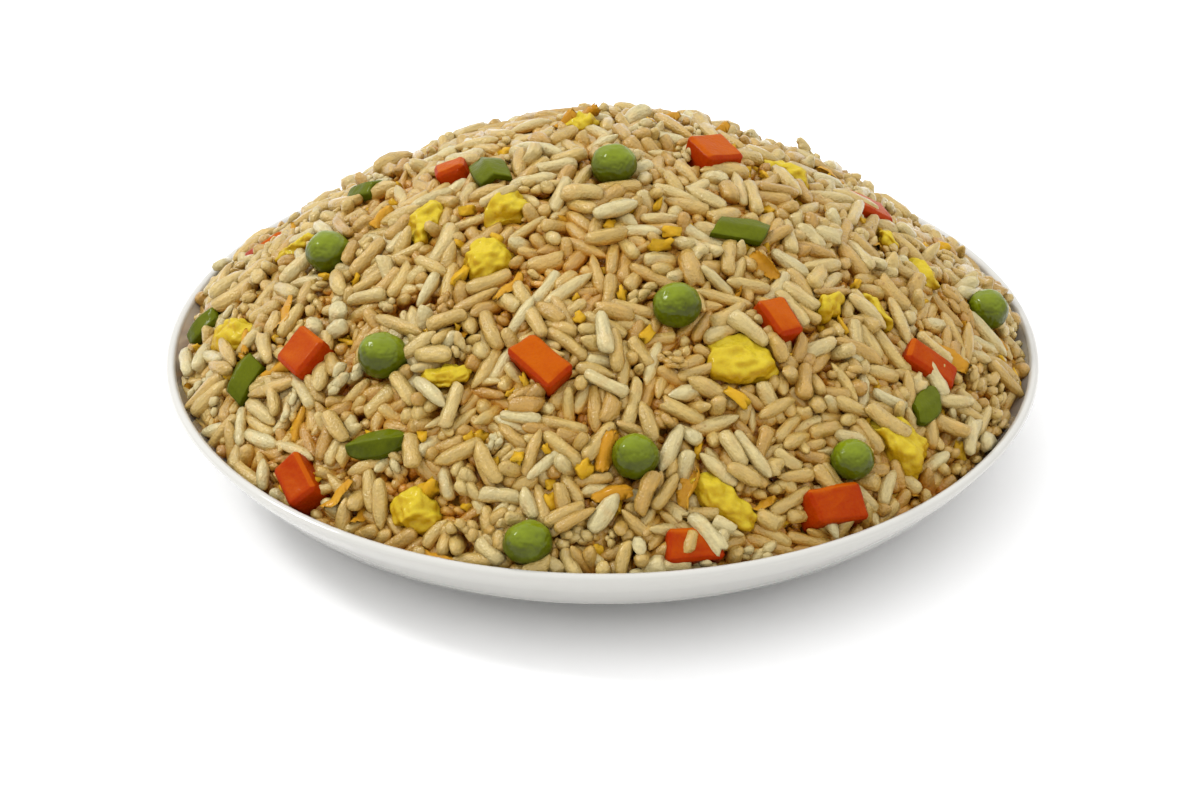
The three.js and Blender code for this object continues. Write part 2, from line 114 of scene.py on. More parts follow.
sky = bpy.data.worlds.new("studio")
sky.use_nodes = True
sky.node_tree.nodes["Background"].inputs["Color"].default_value = SKY_WHITE
sky.node_tree.nodes["Background"].inputs["Strength"].default_value = SKY_STRENGTH
bpy.context.scene.world = sky
bpy.context.scene.view_settings.view_transform = "Standard"

camera_data = bpy.data.cameras.new("camera")
camera_data.lens = CAMERA_LENS
camera_data.sensor_width = CAMERA_SENSOR
camera = bpy.data.objects.new("camera", camera_data)
towards_camera = Vector((0, -math.cos(CAMERA_ELEVATION), math.sin(CAMERA_ELEVATION)))
camera.location = CAMERA_TARGET + CAMERA_DISTANCE * towards_camera
camera.rotation_euler = (-towards_camera).to_track_quat("-Z", "Y").to_euler()
bpy.context.scene.collection.objects.link(camera)
bpy.context.scene.camera = camera


# ---- Plate ----
# A thin white porcelain side plate, jiggered in one piece and dipped in clear glaze.
# Its wall flares to a rounded rim, and it stands on a narrow foot ring.

PLATE_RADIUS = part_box("plate")[1].x
PLATE_HEIGHT = 21.4 * MM
RIM_THICKNESS = 2.2 * MM
PLATE_WALL = 2.8 * MM
WALL_BASE = (79.8 * MM, 10.6 * MM)  # radius and height where the flared wall begins
INSIDE_OF_WALL = (WALL_BASE[0] - 0.75 * PLATE_WALL, WALL_BASE[1] + 0.66 * PLATE_WALL)
PLATE_FLOOR = 5.4 * MM
FLOOR_RADIUS = 56 * MM  # the floor is almost level as far as this
FLOOR_CAMBER = 0.4 * MM
FLOOR_EDGE_RADIUS = 68 * MM  # and rises a little from there to here
FLOOR_EDGE_RISE = 2 * MM
FOOT_RADIUS = 53 * MM
FOOT_WIDTH = 6 * MM
UNDERSIDE = 2.2 * MM
PLATE_STEPS = 128
GLAZE_WHITE = (0.49, 0.48, 0.446, 1)
GLAZE_POOLED = (0.477, 0.468, 0.435, 1)
GLAZE_THIN = (0.503, 0.494, 0.459, 1)


def plate_outline():
    """Radius and height, from the middle of the underside round to that of the floor."""
    crest_radius = PLATE_RADIUS - RIM_THICKNESS / 2
    crest_height = PLATE_HEIGHT - RIM_THICKNESS / 2
    foot_in, foot_out = FOOT_RADIUS - FOOT_WIDTH / 2, FOOT_RADIUS + FOOT_WIDTH / 2
    outside = [
        (0, UNDERSIDE),
        (foot_in - 1.2 * MM, UNDERSIDE),
        (foot_in - 0.4 * MM, UNDERSIDE * 0.6),
        (foot_in + 0.5 * MM, 0),
        (foot_out - 0.5 * MM, 0),
        (foot_out + 0.4 * MM, 0.4 * MM),
        (foot_out + 2 * MM, UNDERSIDE),
        (66 * MM, 3.9 * MM),
        (74 * MM, 6.4 * MM),
        (WALL_BASE[0] - 1.3 * MM, WALL_BASE[1] - 1.3 * MM),
        (WALL_BASE[0] + 1 * MM, WALL_BASE[1] + 1.1 * MM),
        (84.7 * MM, 15.7 * MM),
    ]
    crest = [
        (
            crest_radius + RIM_THICKNESS / 2 * math.cos(math.radians(turn)),
            crest_height + RIM_THICKNESS / 2 * math.sin(math.radians(turn)),
        )
        for turn in range(0, 181, 15)
    ]
    inside = [
        INSIDE_OF_WALL,
        (FLOOR_EDGE_RADIUS, PLATE_FLOOR + FLOOR_EDGE_RISE),
        (FLOOR_RADIUS, PLATE_FLOOR + FLOOR_CAMBER),
        (0, PLATE_FLOOR),
    ]
    return outside + crest + inside


def noise_texture(nodes, scale, detail):
    texture = nodes.new("ShaderNodeTexNoise")
    texture.inputs["Scale"].default_value = scale
    texture.inputs["Detail"].default_value = detail
    return texture


def bump_node(nodes, strength, distance):
    bump = nodes.new("ShaderNodeBump")
    bump.inputs["Strength"].default_value = strength
    bump.inputs["Distance"].default_value = distance
    return bump


def color_mix(nodes, color_a=None, color_b=None):
    mix = nodes.new("ShaderNodeMix")
    mix.data_type = "RGBA"
    if color_a:
        mix.inputs["A"].default_value = color_a
    if color_b:
        mix.inputs["B"].default_value = color_b
    return mix


def glaze_material():
    """White porcelain glaze: almost even, with faint pooling and a soft wave."""
    material = plain_material("porcelain_glaze", GLAZE_WHITE, 0.12)
    nodes, links = material.node_tree.nodes, material.node_tree.links
    shader = nodes["Principled BSDF"]
    shader.inputs["Coat Weight"].default_value = 0.5
    shader.inputs["Coat Roughness"].default_value = 0.06
    place = nodes.new("ShaderNodeTexCoord")
    cloud = noise_texture(nodes, 28, 2)
    tint = color_mix(nodes, GLAZE_POOLED, GLAZE_THIN)
    wave = bump_node(nodes, 0.04, 1 * MM)
    links.new(place.outputs["Object"], cloud.inputs["Vector"])
    links.new(cloud.outputs["Fac"], tint.inputs["Factor"])
    links.new(tint.outputs["Result"], shader.inputs["Base Color"])
    links.new(cloud.outputs["Fac"], wave.inputs["Height"])
    links.new(wave.outputs["Normal"], shader.inputs["Normal"])
    return material


plate_bm = bmesh.new()
outline = [plate_bm.verts.new((radius, 0, height)) for radius, height in plate_outline()]
outline_edges = [plate_bm.edges.new(pair) for pair in zip(outline, outline[1:])]
bmesh.ops.spin(
    plate_bm, geom=outline + outline_edges, axis=(0, 0, 1), cent=(0, 0, 0),
    angle=math.tau, steps=PLATE_STEPS, use_merge=True,
)
bmesh.ops.remove_doubles(plate_bm, verts=plate_bm.verts, dist=0.01 * MM)
bmesh.ops.recalc_face_normals(plate_bm, faces=plate_bm.faces)
plate_mesh = bpy.data.meshes.new("plate_porcelain")
plate_bm.to_mesh(plate_mesh)
plate_bm.free()
plate_mesh.shade_smooth()
plate = new_object("plate_porcelain", plate_mesh, glaze_material())
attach(plate, "root")
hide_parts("plate")


# ---- Peas ----
# Garden peas, boiled then tossed in the pan.  The skin is tight and moist, a little
# flattened on one side and drawn into fine creases.

# The two greens are painted light and shade: faces that point up get the light one, the others the
# dark one, and patches mottle them too.
PEA_GREEN_PAINTED_SHADE = (0.045, 0.052, 0.0003, 1)
PEA_GREEN_PAINTED_LIGHT = (0.16, 0.205, 0.003, 1)
PEA_SHEEN = (0.75, 1.0, 0.08, 1)
PEA_FLATNESS = 0.1
PEA_UNEVENNESS = 0.045
PEA_CREASE = 0.03
PEA_SEED = 12


def node_names(kind):
    """The frame's nodes of one kind in counting order, such as pea_1, pea_2."""
    names = [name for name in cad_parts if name.rsplit("_", 1)[0] == kind]
    return sorted(names, key=lambda name: int(name.rsplit("_", 1)[1]))


def middle_of(node):
    low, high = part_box(node)
    return (low + high) / 2


def finish_piece(name, bm, material, node):
    """Makes the bmesh a smooth piece that stands for a node of the frame.  Two faces on
    the same corners, left where an edge was folded flat, come out first."""
    by_corners = {}
    for face in bm.faces:
        by_corners.setdefault(frozenset(face.verts), []).append(face)
    pinched = [face for pair in by_corners.values() if len(pair) > 1 for face in pair]
    bmesh.ops.delete(bm, geom=pinched, context="FACES")
    mesh = bpy.data.meshes.new(name)
    bm.to_mesh(mesh)
    bm.free()
    mesh.shade_smooth()
    # The 'upward' attribute is 1 on faces that point up and 0 on the others; the food materials
    # use it to paint the tops lighter, as painted light.
    upward = np.empty((len(mesh.vertices), 3))
    mesh.vertices.foreach_get("normal", upward.ravel())
    upward = ((upward[:, 2] - 0.2) / 0.65).clip(0, 1)
    facing_up = mesh.attributes.new("upward", "FLOAT", "POINT")
    facing_up.data.foreach_set("value", upward.astype(np.float32))
    piece = new_object(name, mesh, material)
    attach(piece, "root")
    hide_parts(node)
    return piece


def add_mottle_group():
    """Node group: patches of two sizes over a piece, as a mask from 0 to 1."""
    group = bpy.data.node_groups.new("mottle", "ShaderNodeTree")
    for name, kind, start in (
        ("Vector", "NodeSocketVector", None),
        ("Patch Scale", "NodeSocketFloat", 300),
        ("Fleck Scale", "NodeSocketFloat", 1500),
        ("Fleck Share", "NodeSocketFloat", 0.3),
    ):
        socket = group.interface.new_socket(name=name, in_out="INPUT", socket_type=kind)
        if start is not None:
            socket.default_value = start
    group.interface.new_socket(name="Mask", in_out="OUTPUT", socket_type="NodeSocketFloat")
    nodes, links = group.nodes, group.links
    entry = nodes.new("NodeGroupInput")
    leave = nodes.new("NodeGroupOutput")
    patch = noise_texture(nodes, 300, 3)
    fleck = noise_texture(nodes, 1500, 2)
    blend = nodes.new("ShaderNodeMix")
    sharpen = nodes.new("ShaderNodeMapRange")
    sharpen.inputs["From Min"].default_value = 0.36
    sharpen.inputs["From Max"].default_value = 0.66
    links.new(entry.outputs["Vector"], patch.inputs["Vector"])
    links.new(entry.outputs["Vector"], fleck.inputs["Vector"])
    links.new(entry.outputs["Patch Scale"], patch.inputs["Scale"])
    links.new(entry.outputs["Fleck Scale"], fleck.inputs["Scale"])
    links.new(entry.outputs["Fleck Share"], blend.inputs["Factor"])
    links.new(patch.outputs["Fac"], blend.inputs["A"])
    links.new(fleck.outputs["Fac"], blend.inputs["B"])
    links.new(blend.outputs["Result"], sharpen.inputs["Value"])
    links.new(sharpen.outputs["Result"], leave.inputs["Mask"])
    return group


mottle = add_mottle_group()


def attribute_node(nodes, name):
    node = nodes.new("ShaderNodeAttribute")
    node.attribute_name = name
    return node


def food_material(
    name, low_color, high_color, sheen_color, roughness, scales, bump, top_power, wet
):
    """Moist food: faces that point up get more of the high colour, as painted light, and
    the others more of the low colour, as painted shade; patches mottle the two colours
    together as well, and a fine bump is added.  The scales are those of the patches and
    the flecks, and wet is the weight of the coat."""
    material = plain_material(name, high_color, roughness)
    nodes, links = material.node_tree.nodes, material.node_tree.links
    shader = nodes["Principled BSDF"]
    shader.inputs["Specular IOR Level"].default_value = 0.03
    shader.inputs["Specular Tint"].default_value = sheen_color
    shader.inputs["Coat Weight"].default_value = wet
    shader.inputs["Coat Roughness"].default_value = 0.1
    place = nodes.new("ShaderNodeTexCoord")
    mask = nodes.new("ShaderNodeGroup")
    mask.node_tree = mottle
    mask.inputs["Patch Scale"].default_value = scales[0]
    mask.inputs["Fleck Scale"].default_value = scales[1]
    mask.inputs["Fleck Share"].default_value = 0.4
    # Painted light and shade: faces that point up, by the 'upward' attribute, lean to the high
    # colour.
    upward = attribute_node(nodes, "upward")
    on_top = nodes.new("ShaderNodeMath")
    on_top.operation = "POWER"
    on_top.inputs[1].default_value = top_power
    share = nodes.new("ShaderNodeMix")
    share.inputs["Factor"].default_value = 0.72
    tint = color_mix(nodes, low_color, high_color)
    grain = noise_texture(nodes, scales[1], 3)
    relief = bump_node(nodes, bump, 0.3 * MM)
    links.new(place.outputs["Object"], mask.inputs["Vector"])
    links.new(place.outputs["Object"], grain.inputs["Vector"])
    links.new(mask.outputs["Mask"], share.inputs["A"])
    links.new(upward.outputs["Fac"], on_top.inputs[0])
    links.new(on_top.outputs["Value"], share.inputs["B"])
    links.new(share.outputs["Result"], tint.inputs["Factor"])
    links.new(tint.outputs["Result"], shader.inputs["Base Color"])
    links.new(grain.outputs["Fac"], relief.inputs["Height"])
    links.new(relief.outputs["Normal"], shader.inputs["Normal"])
    return material


pea_skin = food_material(
    "pea_skin", PEA_GREEN_PAINTED_SHADE, PEA_GREEN_PAINTED_LIGHT, PEA_SHEEN, 0.3, (170, 700), 0.3, 1.0, 0.4
)

noise.seed_set(PEA_SEED)
for node in node_names("pea"):
    low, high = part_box(node)
    flat_side = noise.random_unit_vector()
    bm = bmesh.new()
    bmesh.ops.create_icosphere(bm, subdivisions=5, radius=0.5)
    for vert in bm.verts:
        spot = vert.co * 4 + middle_of(node) * 400
        crease = max(0, 1 - 5 * abs(noise.noise(spot * 1.7))) ** 2
        press = max(0, vert.co.dot(flat_side) * 2) ** 3
        vert.co *= 0.98 + PEA_UNEVENNESS * noise.noise(spot) + 0.007 * noise.noise(spot * 5)
        vert.co *= 1 - PEA_CREASE * crease - PEA_FLATNESS * press
    bmesh.ops.scale(bm, vec=high - low, verts=bm.verts)
    bmesh.ops.translate(bm, vec=middle_of(node), verts=bm.verts)
    finish_piece(f"{node}_cooked", bm, pea_skin, node)


# ---- Carrots ----
# Carrot cut into dice with a knife and fried until its edges soften.  The cut faces
# are nearly flat, moist and faintly ribbed.

# The two oranges are painted light and shade: faces that point almost straight up get the light
# one, the sides the deep one, and patches mottle them too.
CARROT_ORANGE_PAINTED_LIGHT = (0.41, 0.08, 0.001, 1)
CARROT_ORANGE_PAINTED_SHADE = (0.28, 0.018, 0.0005, 1)
CARROT_SHEEN = (1.0, 0.55, 0.1, 1)
CARROT_EDGE = 0.15 * MM  # width of the softened edges
CARROT_CELL = 1.1 * MM  # longer edges are cut up, so that the faces can warp
CARROT_WARP = 0.22 * MM
CARROT_RIB = 0.08 * MM


def copy_of_node(node):
    """A bmesh of a node's surface with its loose triangles joined."""
    bm = bmesh.new()
    bm.from_mesh(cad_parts[node].data)
    bmesh.ops.remove_doubles(bm, verts=bm.verts, dist=0.01 * MM)
    return bm


carrot_flesh = food_material(
    "carrot_flesh", CARROT_ORANGE_PAINTED_SHADE, CARROT_ORANGE_PAINTED_LIGHT, CARROT_SHEEN,
    0.4, (200, 1500), 0.5, 6.0, 0.08,
)

for node in node_names("carrot"):
    bm = copy_of_node(node)
    bmesh.ops.dissolve_limit(bm, angle_limit=math.radians(3), verts=bm.verts, edges=bm.edges)
    bmesh.ops.bevel(
        bm, geom=bm.edges[:], offset=CARROT_EDGE, offset_type="OFFSET", segments=2, profile=0.5,
        affect="EDGES", material=-1,
    )
    bmesh.ops.triangulate(bm, faces=bm.faces)
    for _ in range(2):
        long_edges = [edge for edge in bm.edges if edge.calc_length() > CARROT_CELL]
        bmesh.ops.subdivide_edges(bm, edges=long_edges, cuts=2, use_grid_fill=True)
        bmesh.ops.triangulate(bm, faces=bm.faces)
    bm.normal_update()
    for vert in bm.verts:
        rib = noise.noise(Vector((vert.co.x * 500, vert.co.y * 500, vert.co.z * 1100)))
        vert.co += vert.normal * (CARROT_WARP * noise.noise(vert.co * 220) + CARROT_RIB * rib)
    finish_piece(f"{node}_cooked", bm, carrot_flesh, node)


# ---- Scallions ----
# Slices of scallion leaf, cut across on a slant.  Each is a short piece of the hollow
# leaf's wall: waxy green outside, paler inside and along the cut.

# The two greens are painted light and shade: faces that point up get the light one, the others the
# dark one, and patches mottle them too.
SCALLION_GREEN_PAINTED_SHADE = (0.042, 0.05, 0.0003, 1)
SCALLION_GREEN_PAINTED_LIGHT = (0.10, 0.118, 0.001, 1)
SCALLION_EDGE = 0.2 * MM
SCALLION_CELL = 0.9 * MM
SCALLION_WAVE = 0.45 * MM
SCALLION_VEIN = 0.1 * MM

scallion_leaf = food_material(
    "scallion_leaf", SCALLION_GREEN_PAINTED_SHADE, SCALLION_GREEN_PAINTED_LIGHT, PEA_SHEEN,
    0.35, (260, 1500), 0.35, 1.0, 0.15,
)

for node in node_names("scallion"):
    bm = copy_of_node(node)
    rim = [edge for edge in bm.edges if edge.calc_face_angle(0) > math.radians(50)]
    bmesh.ops.bevel(
        bm, geom=rim, offset=SCALLION_EDGE, offset_type="OFFSET", segments=2, profile=0.5,
        affect="EDGES", material=-1,
    )
    bmesh.ops.triangulate(bm, faces=bm.faces)
    for _ in range(2):
        long_edges = [edge for edge in bm.edges if edge.calc_length() > SCALLION_CELL]
        bmesh.ops.subdivide_edges(bm, edges=long_edges, cuts=1, use_grid_fill=True)
        bmesh.ops.triangulate(bm, faces=bm.faces)
    bm.normal_update()
    for vert in bm.verts:
        wave = SCALLION_WAVE * noise.noise(vert.co * 200)
        vert.co += vert.normal * (wave + SCALLION_VEIN * noise.noise(vert.co * 900))
    finish_piece(f"{node}_cooked", bm, scallion_leaf, node)


# ---- Scrambled egg ----
# Egg scrambled in the pan and broken up by the rice.  The curds are soft, bright
# yellow and spongy, with folds and torn edges.

# The two yellows are painted light and shade: faces that point up get the pale one, the others the
# deep one, and patches mottle them too.
EGG_YELLOW_PAINTED_SHADE = (0.36, 0.19, 0.002, 1)
EGG_YELLOW_PAINTED_LIGHT = (0.53, 0.41, 0.024, 1)
EGG_SHEEN = (1.0, 0.85, 0.3, 1)
EGG_SWELL = 0.9 * MM
EGG_FOLD = 1.7 * MM
EGG_CURD = 0.7 * MM
EGG_SWAY = 0.9 * MM

egg_curd = food_material(
    "egg_curd", EGG_YELLOW_PAINTED_SHADE, EGG_YELLOW_PAINTED_LIGHT, EGG_SHEEN, 0.42, (230, 1500), 0.7, 1.0, 0.2
)

for node in node_names("egg"):
    bm = copy_of_node(node)
    bmesh.ops.subdivide_edges(bm, edges=bm.edges, cuts=5, use_grid_fill=True)
    for _ in range(4):
        bmesh.ops.smooth_vert(
            bm, verts=bm.verts, factor=0.5, use_axis_x=True, use_axis_y=True, use_axis_z=True
        )
    bm.normal_update()
    for vert in bm.verts:
        folds = abs(noise.noise(vert.co * 210)) + 0.5 * abs(noise.noise(vert.co * 430))
        curds = noise.voronoi(vert.co * 620)[0][0]
        sway = noise.noise_vector(vert.co * 150) + 0.4 * noise.noise_vector(vert.co * 420)
        vert.co += vert.normal * (EGG_SWELL - EGG_FOLD * folds - EGG_CURD * curds)
        vert.co += sway * EGG_SWAY
    piece = finish_piece(f"{node}_cooked", bm, egg_curd, node)
    rounding = piece.modifiers.new("rounding", "SUBSURF")
    rounding.levels = rounding.render_levels = 1


# ---- Core of the heap ----
# The rice below the loose surface, packed close.  Its brown is painted shade, like that on
# the deeper grains, and its faces that point up are painted lighter, as painted light.  It
# shows only as the dark ground between the grains.

HEAP_RADIUS = 86 * MM
HEAP_BASE = 18.5 * MM
HEAP_RISE = 46.5 * MM
SHOULDER_RISE = 2.4 * MM
SHOULDER_PLACE = 76 * MM
SHOULDER_SPREAD = (12 * MM, 40 * MM)
SHELL_DEPTH = 6.4 * MM  # thickness of the layer of loose grains
CORE_BROWN_PAINTED_SHADE = (0.50, 0.22, 0.02, 1)
CORE_TAN_PAINTED_LIGHT = (0.66, 0.36, 0.05, 1)
RICE_SHEEN = (1.0, 0.85, 0.55, 1)


def heap_top(x, y):
    """Height of the tops of the grains."""
    dome = HEAP_BASE + HEAP_RISE * (1 - (x * x + y * y) / HEAP_RADIUS**2)
    across = (np.abs(x) - SHOULDER_PLACE) / SHOULDER_SPREAD[0]
    along = y / SHOULDER_SPREAD[1]
    return dome + SHOULDER_RISE * np.exp(-across**2 - along**2)


def heap_normal(x, y):
    """Unit normals of the heap's surface, as rows."""
    step = 0.5 * MM
    slope_x = (heap_top(x + step, y) - heap_top(x - step, y)) / (2 * step)
    slope_y = (heap_top(x, y + step) - heap_top(x, y - step)) / (2 * step)
    normal = np.stack([-slope_x, -slope_y, np.ones_like(slope_x)], axis=-1)
    return normal / np.linalg.norm(normal, axis=-1, keepdims=True)


def wall_radius(height):
    """How far out the plate's inside reaches at a height."""
    inside = [
        (0, PLATE_FLOOR),
        (FLOOR_RADIUS, PLATE_FLOOR + FLOOR_CAMBER),
        (FLOOR_EDGE_RADIUS, PLATE_FLOOR + FLOOR_EDGE_RISE),
        INSIDE_OF_WALL,
        (PLATE_RADIUS - RIM_THICKNESS, PLATE_HEIGHT - RIM_THICKNESS / 2),
    ]
    radii, heights = zip(*inside)
    return np.interp(height, heights, radii)


core_material = food_material(
    "rice_core", CORE_BROWN_PAINTED_SHADE, CORE_TAN_PAINTED_LIGHT, RICE_SHEEN, 0.55, (350, 1500), 0.5, 1.0, 0.0
)

bm = bmesh.new()
core_outline = [
    (0, PLATE_FLOOR + 0.3 * MM),
    (FLOOR_RADIUS, PLATE_FLOOR + FLOOR_CAMBER + 0.4 * MM),
    (FLOOR_EDGE_RADIUS - 0.5 * MM, PLATE_FLOOR + FLOOR_EDGE_RISE + 0.5 * MM),
]
for radius in np.linspace(HEAP_RADIUS, 0, 36):
    normal = heap_normal(np.array(0.0), np.array(radius))
    place = radius - normal[1] * SHELL_DEPTH
    height = float(heap_top(np.array(0.0), np.array(radius))) - normal[2] * SHELL_DEPTH
    if place < wall_radius(height) - 0.4 * MM:
        core_outline.append((max(place, 0), height))
outline = [bm.verts.new((radius, 0, height)) for radius, height in core_outline]
outline_edges = [bm.edges.new(pair) for pair in zip(outline, outline[1:])]
bmesh.ops.spin(
    bm, geom=outline + outline_edges, axis=(0, 0, 1), cent=(0, 0, 0),
    angle=math.tau, steps=96, use_merge=True,
)
bmesh.ops.remove_doubles(bm, verts=bm.verts, dist=0.01 * MM)
bmesh.ops.recalc_face_normals(bm, faces=bm.faces)
for vert in bm.verts:
    if vert.co.z > 14 * MM:
        vert.co.z += 0.9 * MM * noise.noise(vert.co * 320)
finish_piece("rice_core", bm, core_material, "rice_heap")


# ---- Rice ----
# Long-grain rice, boiled, cooled and fried with a little soy sauce.  Whole grains are
# plump with blunt ends; others are thin, creased, broken, burst or stuck in clumps.

GRAIN_COUNT = 4000
GRAIN_LENGTH = 9.6 * MM
GRAIN_WIDTH = 3.25 * MM
CRUMB_COUNT = 480
FLAKE_COUNT = 150
SETTLE_ROUNDS = 110
GRAVITY = 0.035 * MM  # how far a grain sinks in one round of settling
BALLS = np.array([-1, -0.34, 0.34, 1.0])  # for the settling, balls stand here in a grain
BALL_SIZES = np.array([0.88, 1, 1, 0.88])
SOFTNESS = 0.83  # a ball's width against the grain's: the grains press into each other
RICE_TONES = {
    0: (0.42, 0.21, 0.025, 1),
    0.4: (0.49, 0.30, 0.068, 1),
    0.7: (0.555, 0.392, 0.125, 1),
    1: (0.60, 0.51, 0.275, 1),
}
# Painted shade: grains deep in the heap, and their sides that face away from the light from above,
# are multiplied towards a darker, browner colour by these tones.
PAINTED_SHADE_TONES = {  # they multiply the grain's own tone, from the top of the heap down
    0: (0.79, 0.78, 0.70, 1),
    0.3: (0.86, 0.71, 0.40, 1),
    0.6: (0.96, 0.62, 0.19, 1),
    1: (1.0, 0.50, 0.08, 1),
}
RICE_STAIN = (0.58, 0.31, 0.07, 1)
RICE_SPECK = (0.24, 0.11, 0.02, 1)
dice = np.random.default_rng(11)

# kind of piece: share of the loose pieces, length and width against a whole grain
KINDS = {
    "whole": (0.38, 1.0, 1.0),
    "blunt": (0.19, 0.9, 1.0),
    "slim": (0.09, 1.02, 0.84),
    "creased": (0.14, 0.97, 1.06),
    "broken": (0.07, 0.6, 1.0),
    "burst": (0.07, 0.98, 1.1),
    "clump_a": (0.02, 0.86, 1.75),
    "clump_b": (0.02, 0.8, 1.9),
    "clump_c": (0.02, 0.92, 1.6),
    "egg_crumb": (0, 0.35, 0.8),
    "egg_skin": (0, 0.7, 0.7),
}
KIND_NAMES = list(KINDS)

# Pieces that lie over the peas, carrots and egg, or beside them: kind, distance out in
# mm, bearing, height above the grains, turn and tilt in degrees, length, width, tone.
LAID = [
    ("clump_a", 17.7, 16, 1.9, 70, 0, 7.5, 6, 0.8),
    ("clump_b", 52, 359, 1.7, 60, 0, 7.5, 6, 0.75),
    ("clump_c", 65.4, 219.6, 2.6, 25, 0, 10, 7, 1.0),
    ("blunt", 62.9, 204.8, 1.0, 20, 50, 4.6, 3.9, 1.0),
    ("blunt", 60.3, 210.4, 1.6, 0, 15, 5.2, 3.2, 1.0),
    ("blunt", 58.4, 206.7, 1.2, 10, 60, 4.8, 4.1, 1.0),
    ("blunt", 62.6, 210.6, 1.2, 85, 10, 4.6, 2.7, 0.7),
    ("clump_a", 80.2, 342.6, 1.6, 45, 0, 10, 7.5, 0.55),
    ("clump_b", 76.6, 341.6, 1.9, 110, 0, 8, 6, 0.6),
    ("clump_c", 83, 345, 1.2, 80, 0, 8, 6, 0.62),
    ("clump_a", 83, 2.5, 1.4, 70, 0, 7, 5, 0.8),
    ("blunt", 81.5, 6, 1.2, -60, 10, 8, 3.2, 0.75),
    ("burst", 80.4, 284.2, 3.0, -52, 12, 10.5, 3.6, 1.0),
    ("blunt", 79.6, 286.6, 2.6, -20, 0, 4.6, 2.9, 0.95),
    ("blunt", 81.2, 285.9, 2.2, -105, 0, 4.2, 2.8, 0.9),
    ("broken", 81.4, 281.6, 2.4, -105, 0, 5.6, 2.9, 0.5),
    ("blunt", 83.9, 276.8, 1.0, 20, 30, 4.4, 4.0, 0.95),
    ("blunt", 83.9, 279.6, 1.0, 5, 0, 5.4, 3.4, 0.9),
    ("clump_c", 71.1, 354.6, 2.4, -35, 0, 9.8, 5.2, 0.3),
    ("blunt", 73.9, 276.3, 2.7, 70, 12, 8.6, 3.7, 0.35),
    ("whole", 73.7, 279.4, 1.4, 56, 5, 8.4, 3.4, 0.6),
    ("whole", 76.3, 270.3, 1.8, 55, 6, 9.2, 3.9, 1.0),
    ("broken", 84.2, 261.6, 1.8, 20, 0, 6, 3.2, 0.7),
    ("broken", 83.8, 263.9, 1.0, -40, 0, 4, 2.8, 0.8),
    ("blunt", 83.4, 265.8, 1.0, -64, 10, 7, 3.2, 0.75),
    ("slim", 84, 253.6, 0.9, -5, 0, 10, 2.8, 0.6),
    ("creased", 82.8, 255.0, 1.6, -42, 10, 7, 3.6, 0.85),
    ("whole", 55.4, 230.4, 1.8, 24, 6, 8.5, 3.1, 0.75),
    ("clump_b", 6.5, 4, 1.8, 30, 0, 6.5, 5, 0.85),
    ("whole", 23.5, 211, 2.4, 18, 5, 8.5, 3.1, 0.8),
    ("whole", 78.3, 195.7, 2.0, -40, 0, 8, 3.1, 0.5),
    ("clump_c", 73.1, 213.2, 1.8, 80, 0, 8.5, 5, 1.0),
    ("clump_b", 82.9, 193.7, 1.4, 30, 0, 6, 4.6, 1.0),
    ("clump_a", 82.4, 200.4, 1.4, 60, 0, 7.5, 5.5, 0.9),
    ("clump_c", 75.7, 182.8, 1.7, 30, 0, 9, 6, 0.95),
    ("clump_a", 73.5, 169, 1.9, 70, 0, 7.5, 6, 0.85),
    ("whole", 60.5, 184.7, 2.0, 24, 4, 10.4, 3.4, 0.85),
    ("whole", 70.3, 294, 1.8, -56, 8, 11.5, 3.4, 0.9),
    ("clump_b", 73.1, 248.8, 2.0, 110, 0, 10, 8, 0.75),
    ("clump_c", 67, 251.9, 1.4, 60, 0, 5.5, 4.6, 1.0),
    ("egg_crumb", 69.8, 267.3, 1.6, 30, 0, 4.2, 3.4, 0.9),
    ("egg_crumb", 75.6, 244, 1.2, 30, 0, 6, 5.2, 0.3),
    ("egg_crumb", 29.3, 206, 1.2, 0, 0, 4.2, 3.4, 0.8),
    ("egg_crumb", 40.7, 227, 1.2, 50, 0, 6, 4.4, 0.8),
    ("egg_crumb", 29, 294, 1.2, 20, 0, 6.4, 4.4, 0.8),
    ("egg_crumb", 61.5, 295, 1.6, -40, 0, 7, 3, 0.7),
    ("egg_crumb", 72.9, 16.3, 1.4, -50, 0, 5, 3, 0.9),
    ("egg_skin", 80.4, 231, 1.4, 30, 0, 8, 3, 0.8),
    ("egg_skin", 73.5, 271.5, 1.9, 10, 0, 7.5, 3.2, 0.35),
    ("egg_skin", 67.2, 270.7, 1.9, 75, 0, 8, 3.2, 0.2),
    ("egg_skin", 73.6, 283, 1.9, 80, 0, 8.5, 3.6, 0.75),
    ("egg_skin", 71.5, 340.7, 2.0, -25, 0, 12, 5, 0.25),
    ("egg_skin", 41.4, 320.2, 1.6, -50, 0, 7, 3, 0.5),
    ("egg_skin", 65.3, 196, 1.8, 60, 0, 8, 3.4, 0.5),
    ("egg_skin", 44, 183.9, 1.7, 25, 0, 5.5, 3, 0.9),
    ("egg_skin", 23.2, 109, 1.5, 20, 30, 5, 2.6, 0.3),
    ("egg_skin", 26, 95.6, 1.7, -10, 40, 4.5, 2.4, 0.3),
    ("egg_skin", 35.5, 48, 1.5, 10, 40, 4.5, 2.4, 0.35),
]


def heap_frame(x, y):
    """At points of the heap: the way across, the way up the slope and the normal."""
    normal = heap_normal(x, y)
    across = np.array([1.0, 0, 0]) - normal * normal[..., :1]
    across /= np.linalg.norm(across, axis=-1, keepdims=True)
    return across, np.cross(normal, across), normal


